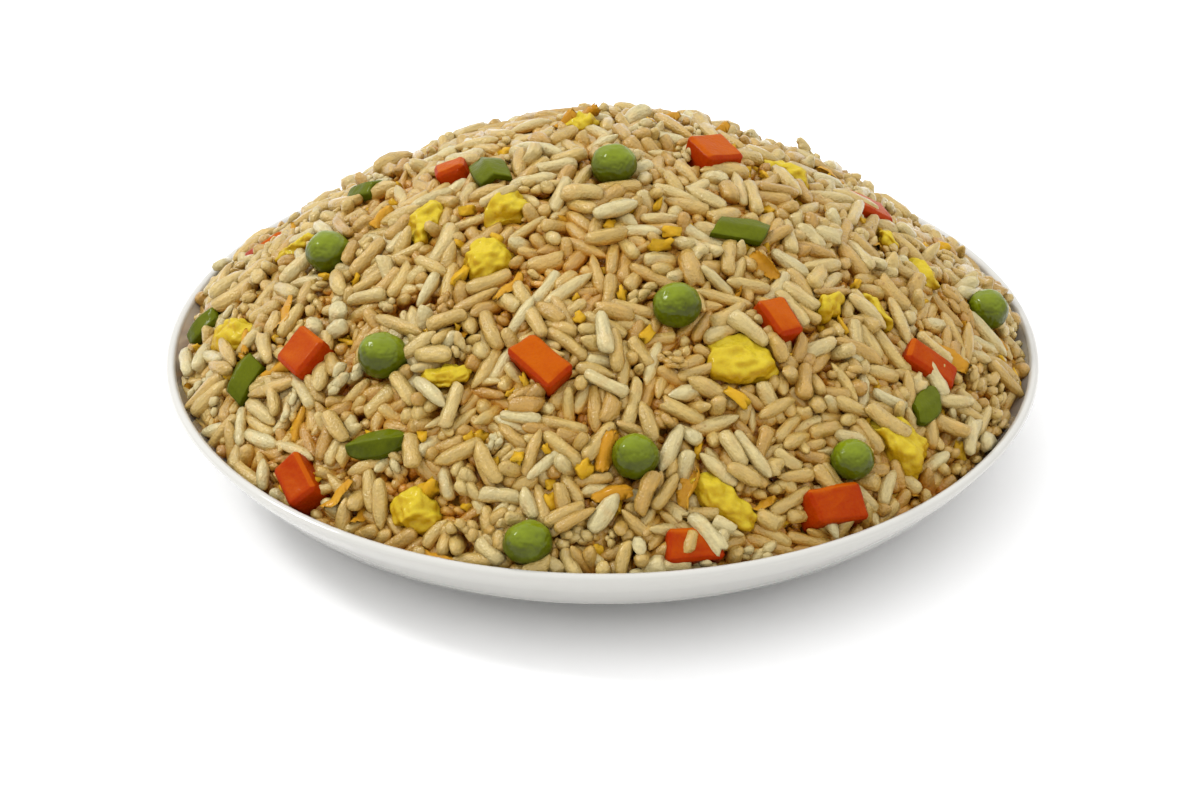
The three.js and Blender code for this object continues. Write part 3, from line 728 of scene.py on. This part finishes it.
def topping_balls():
    """Fixed balls that fill every topping: middles and radii."""
    middles, radii = [], []
    for kind in ("pea", "carrot", "scallion", "egg"):
        for node in node_names(kind):
            centre = middle_of(node)
            if kind == "pea":
                low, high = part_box(node)
                middles.append(centre)
                radii.append((high - low).x / 2)
                continue
            bm = copy_of_node(node)
            bm.normal_update()
            ball = (0.6 if kind == "scallion" else 1.4) * MM
            for vert in bm.verts:
                middles.append(vert.co - vert.normal * ball)
                radii.append(ball)
            middles.append(centre)
            radii.append(ball)
            bm.free()
    return np.array(middles), np.array(radii)


def near_pairs(points, reach):
    """Pairs of points closer than reach, found through a grid of cells."""
    cell = np.floor(points / reach).astype(np.int64)
    cell -= cell.min(0) - 1
    width = cell.max(0) + 2
    key = (cell[:, 0] * width[1] + cell[:, 1]) * width[2] + cell[:, 2]
    order = np.argsort(key, kind="stable")
    ranked = key[order]
    firsts, seconds = [], []
    steps = [(i, j, k) for i in (-1, 0, 1) for j in (-1, 0, 1) for k in (-1, 0, 1)]
    for i, j, k in steps[13:]:
        target = key + (i * width[1] + j) * width[2] + k
        start = np.searchsorted(ranked, target, "left")
        count = np.searchsorted(ranked, target, "right") - start
        first = np.repeat(np.arange(len(points)), count)
        inside = np.arange(count.sum()) - np.repeat(np.cumsum(count) - count, count)
        second = order[np.repeat(start, count) + inside]
        if (i, j, k) == (0, 0, 0):
            keep = first < second
            first, second = first[keep], second[keep]
        firsts.append(first)
        seconds.append(second)
    first, second = np.concatenate(firsts), np.concatenate(seconds)
    keep = ((points[first] - points[second]) ** 2).sum(1) < reach * reach
    return first[keep], second[keep]


def settle(middles, axes, lengths, widths, ceilings, held):
    """Lets the grains sink on to the core and pushes overlapping ones apart."""
    count = len(middles)
    reach = np.maximum(lengths / 2 - widths * 0.44, 0.1 * MM)[:, None] * BALLS[None, :]
    radii = (widths[:, None] / 2 * BALL_SIZES[None, :] * SOFTNESS).ravel()
    fixed_middles, fixed_radii = topping_balls()
    all_radii = np.concatenate([radii, fixed_radii])
    owner = np.concatenate([np.repeat(np.arange(count), 4), -1 - np.arange(len(fixed_radii))])
    movable = len(radii)
    free = np.concatenate([np.repeat(~held, 4), np.zeros(len(fixed_radii), bool)])
    small = all_radii < 2.1 * MM
    kept_middles, kept_axes = middles[held], axes[held]
    for step in range(SETTLE_ROUNDS):
        balls = (middles[:, None, :] + axes[:, None, :] * reach[:, :, None]).reshape(-1, 3)
        points = np.concatenate([balls, fixed_middles])
        if step % 5 == 0:
            first, second = near_pairs(points[small], 4 * MM)
            index = np.flatnonzero(small)
            first, second = index[first], index[second]
            for big in np.flatnonzero(~small):
                close = ((points - points[big]) ** 2).sum(1) < (all_radii[big] + 4 * MM) ** 2
                near = np.flatnonzero(close & (small | (np.arange(len(points)) > big)))
                first = np.concatenate([first, near])
                second = np.concatenate([second, np.full(len(near), big)])
            keep = (owner[first] != owner[second]) & (free[first] | free[second])
            first, second = first[keep], second[keep]
        gap = points[second] - points[first]
        distance = np.maximum(np.linalg.norm(gap, axis=1), 1e-7)
        overlap = all_radii[first] + all_radii[second] - distance
        hit = overlap > 0
        push = gap[hit] / distance[hit, None] * overlap[hit, None]
        a, b = first[hit], second[hit]
        share = np.where(free[a] & free[b], 0.5, 1.0)[:, None]
        moves = np.zeros((len(points), 3))
        for axis in range(3):
            moves[:, axis] = np.bincount(b, (push * share)[:, axis], len(points))
            moves[:, axis] -= np.bincount(a, (push * share)[:, axis], len(points))
        touches = np.bincount(a, minlength=len(points)) + np.bincount(b, minlength=len(points))
        balls += 1.4 * moves[:movable] / np.maximum(touches[:movable], 1)[:, None]
        x, y, z = balls.T
        normal = heap_normal(x, y)
        above = (z - heap_top(x, y)) * normal[:, 2]
        lid = np.repeat(ceilings, 4) - radii
        ground = -SHELL_DEPTH + radii * 0.8
        balls[:, 2] -= GRAVITY * (above > ground)
        lifted = 0.6 * np.maximum(above - lid, 0) - np.maximum(ground - above, 0)
        balls -= normal * lifted[:, None]
        out = np.hypot(balls[:, 0], balls[:, 1])
        most = np.minimum(wall_radius(balls[:, 2]), PLATE_RADIUS - RIM_THICKNESS) - radii * 0.95
        squeeze = np.minimum(1, most / out)
        balls[:, :2] *= squeeze[:, None]
        rows = balls.reshape(count, 4, 3)
        middles = rows.mean(1)
        axes = ((rows - middles[:, None, :]) * reach[:, :, None]).sum(1)
        axes /= np.linalg.norm(axes, axis=1, keepdims=True)
        middles[held], axes[held] = kept_middles, kept_axes
    depth = -((middles[:, 2] - heap_top(*middles.T[:2])) * heap_normal(*middles.T[:2])[:, 2])
    return middles, axes, depth


def spread_grains(count):
    """Starting places over the heap, evenly by area, and starting directions."""
    radius = HEAP_RADIUS * 0.99 * np.sqrt(dice.random(4 * count))
    bearing = dice.random(4 * count) * math.tau
    x, y = radius * np.cos(bearing), radius * np.sin(bearing)
    normal = heap_normal(x, y)
    keep = dice.random(4 * count) < 0.62 / normal[:, 2]
    x, y, normal = x[keep][:count], y[keep][:count], normal[keep][:count]
    depth = dice.uniform(0.4 * MM, SHELL_DEPTH, len(x))
    middles = np.stack([x, y, heap_top(x, y)], 1) - normal * depth[:, None]
    direction = dice.normal(size=(len(x), 3))
    direction -= normal * (direction * normal).sum(1, keepdims=True) * 0.5
    return middles, direction / np.linalg.norm(direction, axis=1, keepdims=True)


def place_laid(pieces):
    """Middles and directions of the listed pieces."""
    columns = [np.array(column) for column in list(zip(*pieces))[1:8]]
    out, bearing, lift, turn, tilt, _, width = columns
    x = out * MM * np.cos(np.radians(bearing))
    y = out * MM * np.sin(np.radians(bearing))
    across, upslope, normal = heap_frame(x, y)
    turn, tilt = np.radians(turn)[:, None], np.radians(tilt)[:, None]
    level = across * np.cos(turn) + upslope * np.sin(turn)
    sunk = width / 2 - lift
    middles = np.stack([x, y, heap_top(x, y)], 1) - normal * sunk[:, None] * MM
    return middles, level * np.cos(tilt) + normal * np.sin(tilt)


laid = len(LAID)
count = laid + GRAIN_COUNT + CRUMB_COUNT + FLAKE_COUNT
middles, axes = spread_grains(count)
kind_of = dice.choice(len(KINDS), count, p=[share for share, _, _ in KINDS.values()])
kind_of[laid + GRAIN_COUNT :] = KIND_NAMES.index("egg_crumb")
kind_of[laid + GRAIN_COUNT + CRUMB_COUNT :] = KIND_NAMES.index("egg_skin")
lengths = GRAIN_LENGTH * dice.normal(1, 0.13, count).clip(0.68, 1.3)
widths = GRAIN_WIDTH * dice.normal(1, 0.09, count).clip(0.78, 1.25)
for number, (_, long_share, wide_share) in enumerate(KINDS.values()):
    lengths[kind_of == number] *= long_share
    widths[kind_of == number] *= wide_share
crumb = kind_of == KIND_NAMES.index("egg_crumb")
lengths[crumb] *= dice.uniform(0.6, 1.5, crumb.sum())
tones = dice.normal(0.6, 0.12, count)
pale = dice.random(count) < 0.3
tones[pale] += 0.26
tones[dice.random(count) < 0.2] -= 0.3
swell = np.array([
    noise.noise(Vector(place) * 60) + 0.6 * noise.noise(Vector(place) * 150)
    for place in middles
])
ceilings = (2.6 * swell + 0.7 * dice.normal(size=count)) * MM
ceilings[dice.random(count) < 0.08] += 1.4 * MM
middles[:laid], axes[:laid] = place_laid(LAID)
kind_of[:laid] = [KIND_NAMES.index(piece[0]) for piece in LAID]
lengths[:laid] = [piece[6] * MM for piece in LAID]
widths[:laid] = [piece[7] * MM for piece in LAID]
held = np.arange(count) < laid
middles, axes, depths = settle(middles, axes, lengths, widths, ceilings, held)
# Grains deeper in the heap get a darker tone: painted shade.
tones -= 0.05 * (depths / MM - 2)
tones[:laid] = [piece[8] for piece in LAID]
tones = tones.clip(0, 1)


GRAIN_SIDES = 8
GRAIN_RINGS = {  # heights of a grain's rings, then their radii
    "whole": ((-0.96, -0.84, -0.5, 0, 0.45, 0.8, 0.96), (0.42, 0.76, 0.98, 1, 0.92, 0.58, 0.24)),
    "blunt": ((-0.97, -0.85, -0.45, 0, 0.45, 0.85, 0.97), (0.6, 0.88, 1, 0.96, 1, 0.9, 0.62)),
    "slim": ((-0.96, -0.8, -0.45, 0, 0.45, 0.8, 0.96), (0.32, 0.66, 0.96, 1, 0.9, 0.56, 0.24)),
    "creased": ((-0.96, -0.84, -0.5, 0, 0.5, 0.84, 0.96), (0.5, 0.82, 1, 0.97, 1, 0.8, 0.46)),
    "broken": ((-0.95, -0.8, -0.4, 0, 0.45, 0.85, 0.95), (0.55, 0.86, 1, 1, 1, 0.98, 0.6)),
    "burst": ((-0.96, -0.84, -0.5, 0, 0.5, 0.85, 0.97), (0.4, 0.7, 0.88, 0.96, 1.06, 1.0, 0.6)),
}


def grain_template(kind):
    """One grain along Z, one unit in half length and half width, as a bmesh."""
    heights, radii = GRAIN_RINGS[kind]
    bm = bmesh.new()
    rings = []
    for height, radius in ((-1, 0), *zip(heights, radii), (1, 0)):
        angles = [math.tau * turn / GRAIN_SIDES for turn in range(GRAIN_SIDES if radius else 1)]
        rings.append([
            bm.verts.new((radius * math.cos(angle), radius * math.sin(angle), height))
            for angle in angles
        ])
    for low, high in zip(rings, rings[1:]):
        for turn in range(GRAIN_SIDES):
            following = (turn + 1) % GRAIN_SIDES
            corners = [low[turn % len(low)], low[following % len(low)]]
            corners += [high[following % len(high)], high[turn % len(high)]]
            bm.faces.new(dict.fromkeys(corners))
    for vert in bm.verts:
        x, y, z = vert.co
        if kind == "whole" and z > 0.6:
            vert.co.z -= 0.2 * max(0, x)
        if kind == "blunt":
            vert.co.z += 0.12 * (x if z > 0.6 else -y if z < -0.6 else 0)
        if kind == "creased":
            vert.co.x -= 0.5 * max(0, x - 0.55)
            vert.co.x += 0.18 * max(0, -x) * (abs(z) < 0.6)
        if kind == "broken" and z > 0.6:
            vert.co.z += 0.3 * x - 0.16 * y - 0.1
        if kind == "burst":
            vert.co.z -= 0.24 * max(0, z) * math.exp(-((x / 0.5) ** 2))
            vert.co.y *= 1 - 0.3 * max(0, z)
    return bm


def clump_template(seed):
    """Short and burst grains stuck together, one unit in half length and half width."""
    chance = np.random.default_rng(seed)
    bm = bmesh.new()
    for lobe in range(10):
        grain = bmesh.ops.create_uvsphere(bm, u_segments=6, v_segments=5, radius=1)["verts"]
        for vert in grain:
            ring = math.hypot(vert.co.x, vert.co.y)
            if ring > 1e-6:
                vert.co.xy *= math.sqrt(1 - min(abs(vert.co.z) ** 4, 1)) / ring
        bmesh.ops.scale(bm, vec=(0.32, 0.32, chance.uniform(0.28, 0.55)), verts=grain)
        tip = Vector(chance.normal(size=3)).normalized().to_track_quat("Z", "Y").to_matrix()
        bmesh.ops.rotate(bm, matrix=tip, cent=(0, 0, 0), verts=grain)
        spot = Vector(chance.uniform(-0.5, 0.5, 3))
        spot.z = -0.68 + 1.36 * lobe / 9
        bmesh.ops.translate(bm, vec=spot, verts=grain)
    return bm


def crumb_template():
    """A lump of broken curd, one unit in radius."""
    bm = bmesh.new()
    bmesh.ops.create_icosphere(bm, subdivisions=2, radius=1)
    for vert in bm.verts:
        lump = 0.85 + 0.9 * noise.noise(vert.co * 1.9 + Vector((3.1, 0.4, 1.7)))
        vert.co *= lump + 0.45 * noise.noise(vert.co * 4.5)
        vert.co.y *= 0.7
    return bm


def skin_template():
    """A thin crumpled skin of egg, one unit in half length and half width."""
    bm = bmesh.new()
    bmesh.ops.create_grid(bm, x_segments=5, y_segments=7, size=1)
    for vert in bm.verts:
        x, y, _ = vert.co
        ragged = noise.noise_vector(Vector((x * 1.7, y * 2.3, 4)))
        x *= 1 - 0.35 * y * y + 0.6 * ragged.x
        y *= 1 + 0.4 * ragged.y
        lift = 0.8 * math.cos(x * 2.0) - 0.35 + 0.45 * math.sin(y * 3 + x) + 0.5 * ragged.z
        vert.co = (x, lift, y)
    bmesh.ops.solidify(bm, geom=bm.faces[:], thickness=0.2)
    bmesh.ops.recalc_face_normals(bm, faces=bm.faces)
    return bm


def joined_copies(name, bm, chosen, material):
    """One mesh of many copies of a template, each turned, sized and made uneven."""
    corners = np.array([vert.co for vert in bm.verts])
    bm.verts.index_update()
    faces = [[vert.index for vert in face.verts] for face in bm.faces]
    bm.free()
    count = int(chosen.sum())
    chance = dice.uniform(-1, 1, (6, count, 1))
    local = np.repeat(corners[None], count, 0)
    angle = np.arctan2(local[:, :, 1], local[:, :, 0])
    along = local[:, :, 2].copy()
    uneven = 1 + 0.14 * chance[0] * along + 0.06 * np.sin(3.2 * along + 3 * chance[1])
    uneven += 0.08 * np.sin(2 * angle + 1.5 * along + 3 * chance[2])
    uneven += 0.05 * np.sin(8 * along + 3 * chance[3] + 3 * angle)
    local[:, :, :2] *= uneven[:, :, None]
    local[:, :, 0] += 0.3 * chance[4] * (along**2 - 0.3)
    local[:, :, 1] += 0.26 * chance[5] * (along**2 - 0.3)
    local *= sizes[chosen][:, None, :]
    facing = np.einsum("nij,nvj->nvi", frames[chosen], local / sizes[chosen][:, None, :] ** 2)
    facing /= np.linalg.norm(facing, axis=2, keepdims=True)
    placed = np.einsum("nij,nvj->nvi", frames[chosen], local) + middles[chosen][:, None, :]
    upward = heap_normal(placed[..., 0], placed[..., 1])
    depth = (heap_top(placed[..., 0], placed[..., 1]) - placed[..., 2]) * upward[..., 2]
    upward[..., 2] += 0.6
    lit = (facing * upward).sum(2)
    flat = np.concatenate([np.array(face) for face in faces])
    starts = np.concatenate([[0], np.cumsum([len(face) for face in faces])[:-1]])
    loops = (flat[None] + (np.arange(count) * len(corners))[:, None]).ravel()
    loop_starts = (starts[None] + (np.arange(count) * len(flat))[:, None]).ravel()
    mesh = bpy.data.meshes.new(name)
    mesh.vertices.add(count * len(corners))
    mesh.vertices.foreach_set("co", placed.ravel())
    mesh.loops.add(len(loops))
    mesh.loops.foreach_set("vertex_index", loops.astype(np.int32))
    mesh.polygons.add(len(loop_starts))
    mesh.polygons.foreach_set("loop_start", loop_starts.astype(np.int32))
    mesh.update(calc_edges=True)
    mesh.validate()
    # The 'sunk' attribute is painted shade: it grows with the depth below the top of the heap and
    # on the sides of a grain that face away from the light (lit).
    for label, values in (
        ("tone", np.repeat(tones[chosen], len(corners))),
        ("sunk", ((depth / MM - 0.8) / 4.2 + 0.2 * (1 - lit)).clip(0, 1).ravel()),
    ):
        attribute = mesh.attributes.new(label, "FLOAT", "POINT")
        attribute.data.foreach_set("value", values.astype(np.float32))
    own_place = corners[None] * sizes[chosen][:, None, :] + dice.uniform(0, 1, (count, 1, 3))
    attribute = mesh.attributes.new("grain_place", "FLOAT_VECTOR", "POINT")
    attribute.data.foreach_set("vector", own_place.astype(np.float32).ravel())
    mesh.shade_smooth()
    piece = new_object(name, mesh, material)
    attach(piece, "root")
    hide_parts("rice_heap")
    return piece


def color_ramp(nodes, tones):
    """A ramp through the given colours, which stand at stops from 0 to 1."""
    node = nodes.new("ShaderNodeValToRGB")
    stops = node.color_ramp.elements
    stops[0].color, stops[1].color = tones[0], tones[1]
    for stop in tones:
        if 0 < stop < 1:
            stops.new(stop).color = tones[stop]
    return node


def range_mask(nodes, low, high, start, end):
    """A Map Range node that runs from start to end as its value goes from low to high."""
    node = nodes.new("ShaderNodeMapRange")
    for name, value in (("From Min", low), ("From Max", high), ("To Min", start), ("To Max", end)):
        node.inputs[name].default_value = value
    return node


def rice_material():
    """Cooked rice: each grain has its own tone, darker on deeper grains as painted shade,
    fine streaks along it, and stains.  The 'sunk' attribute multiplies in painted shade,
    browner and darker, deep in the heap and on sides turned away from the light.
    """
    material = plain_material("fried_rice", RICE_TONES[0.7], 0.32)
    nodes, links = material.node_tree.nodes, material.node_tree.links
    shader = nodes["Principled BSDF"]
    shader.inputs["Specular IOR Level"].default_value = 0.3
    shader.inputs["Specular Tint"].default_value = RICE_SHEEN
    shader.inputs["Coat Weight"].default_value = 0.7
    shader.inputs["Coat Roughness"].default_value = 0.2
    tone = attribute_node(nodes, "tone")
    sunk = attribute_node(nodes, "sunk")
    own_place = attribute_node(nodes, "grain_place")
    grain_color = color_ramp(nodes, RICE_TONES)
    painted_shade_ramp = color_ramp(nodes, PAINTED_SHADE_TONES)
    stretch = nodes.new("ShaderNodeMapping")
    stretch.inputs["Scale"].default_value = (1, 1, 0.3)
    streak = noise_texture(nodes, 1100, 3)
    patch = noise_texture(nodes, 330, 3)
    fine = noise_texture(nodes, 1900, 2)
    speck = nodes.new("ShaderNodeTexVoronoi")
    speck.inputs["Scale"].default_value = 260
    stain_mask = range_mask(nodes, 0.52, 0.75, 0, 0.4)
    streak_mask = range_mask(nodes, 0.35, 0.65, 0.86, 1.1)
    speck_mask = range_mask(nodes, 0.04, 0.09, 0.6, 0)
    stained = color_mix(nodes, color_b=RICE_STAIN)
    spotted = color_mix(nodes, color_b=RICE_SPECK)
    painted_shade_mix = color_mix(nodes)
    painted_shade_mix.blend_type = "MULTIPLY"
    painted_shade_mix.inputs["Factor"].default_value = 1
    streaked = nodes.new("ShaderNodeVectorMath")
    streaked.operation = "SCALE"
    heights = nodes.new("ShaderNodeMath")
    relief = bump_node(nodes, 0.7, 0.4 * MM)
    links.new(own_place.outputs["Vector"], stretch.inputs["Vector"])
    links.new(stretch.outputs["Vector"], streak.inputs["Vector"])
    for texture in (patch, speck, fine):
        links.new(own_place.outputs["Vector"], texture.inputs["Vector"])
    links.new(tone.outputs["Fac"], grain_color.inputs["Fac"])
    links.new(patch.outputs["Fac"], stain_mask.inputs["Value"])
    links.new(stain_mask.outputs["Result"], stained.inputs["Factor"])
    links.new(grain_color.outputs["Color"], stained.inputs["A"])
    links.new(sunk.outputs["Fac"], painted_shade_ramp.inputs["Fac"])
    links.new(stained.outputs["Result"], painted_shade_mix.inputs["A"])
    links.new(painted_shade_ramp.outputs["Color"], painted_shade_mix.inputs["B"])
    links.new(streak.outputs["Fac"], streak_mask.inputs["Value"])
    links.new(painted_shade_mix.outputs["Result"], streaked.inputs["Vector"])
    links.new(streak_mask.outputs["Result"], streaked.inputs["Scale"])
    links.new(speck.outputs["Distance"], speck_mask.inputs["Value"])
    links.new(speck_mask.outputs["Result"], spotted.inputs["Factor"])
    links.new(streaked.outputs["Vector"], spotted.inputs["A"])
    links.new(spotted.outputs["Result"], shader.inputs["Base Color"])
    links.new(streak.outputs["Fac"], heights.inputs[0])
    links.new(fine.outputs["Fac"], heights.inputs[1])
    links.new(heights.outputs["Value"], relief.inputs["Height"])
    links.new(relief.outputs["Normal"], shader.inputs["Normal"])
    links.new(relief.outputs["Normal"], shader.inputs["Coat Normal"])
    return material


fried_rice = rice_material()
outward = heap_normal(middles[:, 0], middles[:, 1])
side = outward - axes * (outward * axes).sum(1, keepdims=True)
side /= np.maximum(np.linalg.norm(side, axis=1, keepdims=True), 1e-6)
roll = dice.normal(0, 0.8, count)
across = np.cross(axes, side)
flat_way = side * np.cos(roll)[:, None] + across * np.sin(roll)[:, None]
wide_way = np.cross(flat_way, axes)
frames = np.stack([wide_way, flat_way, axes], axis=2)
sizes = np.stack([widths / 2, widths / 2 * dice.uniform(0.8, 0.96, count), lengths / 2], axis=1)

for number, kind in enumerate(KIND_NAMES):
    if kind.startswith("clump"):
        joined_copies(f"rice_{kind}", clump_template(number), kind_of == number, fried_rice)
    elif not kind.startswith("egg"):
        joined_copies(f"rice_{kind}", grain_template(kind), kind_of == number, fried_rice)


# ---- Crumbs and skins of egg ----
# Small bits of the scrambled egg that broke off and lie between the grains: yellow
# crumbs, and thin skins that browned against the pan.  Bits that lie deeper among the
# grains are painted browner, as painted shade.

CRUMB_BROWN = (0.50, 0.27, 0.01, 1)
CRUMB_YELLOW = (0.80, 0.58, 0.05, 1)
SKIN_BROWN = (0.42, 0.19, 0.01, 1)
SKIN_YELLOW = (0.74, 0.50, 0.07, 1)


def egg_bit_material(name, brown, yellow, roughness):
    """Egg whose colour runs from a browned tone to a yellow one, piece by piece.  Pieces
    that lie deeper among the grains get more of the browned tone, as painted shade.
    """
    material = food_material(
        name, brown, yellow, EGG_SHEEN, roughness, (300, 1500), 0.5, 1.0, 0.2
    )
    nodes, links = material.node_tree.nodes, material.node_tree.links
    base_color = nodes["Principled BSDF"].inputs["Base Color"]
    tone = attribute_node(nodes, "tone")
    browned = color_mix(nodes, brown)
    links.new(tone.outputs["Fac"], browned.inputs["Factor"])
    links.new(base_color.links[0].from_socket, browned.inputs["B"])
    links.new(browned.outputs["Result"], base_color)
    return material


crumb_curd = egg_bit_material("crumb_curd", CRUMB_BROWN, CRUMB_YELLOW, 0.4)
egg_skin = egg_bit_material("egg_skin", SKIN_BROWN, SKIN_YELLOW, 0.36)
joined_copies("egg_crumbs", crumb_template(), kind_of == KIND_NAMES.index("egg_crumb"), crumb_curd)
joined_copies("egg_skins", skin_template(), kind_of == KIND_NAMES.index("egg_skin"), egg_skin)
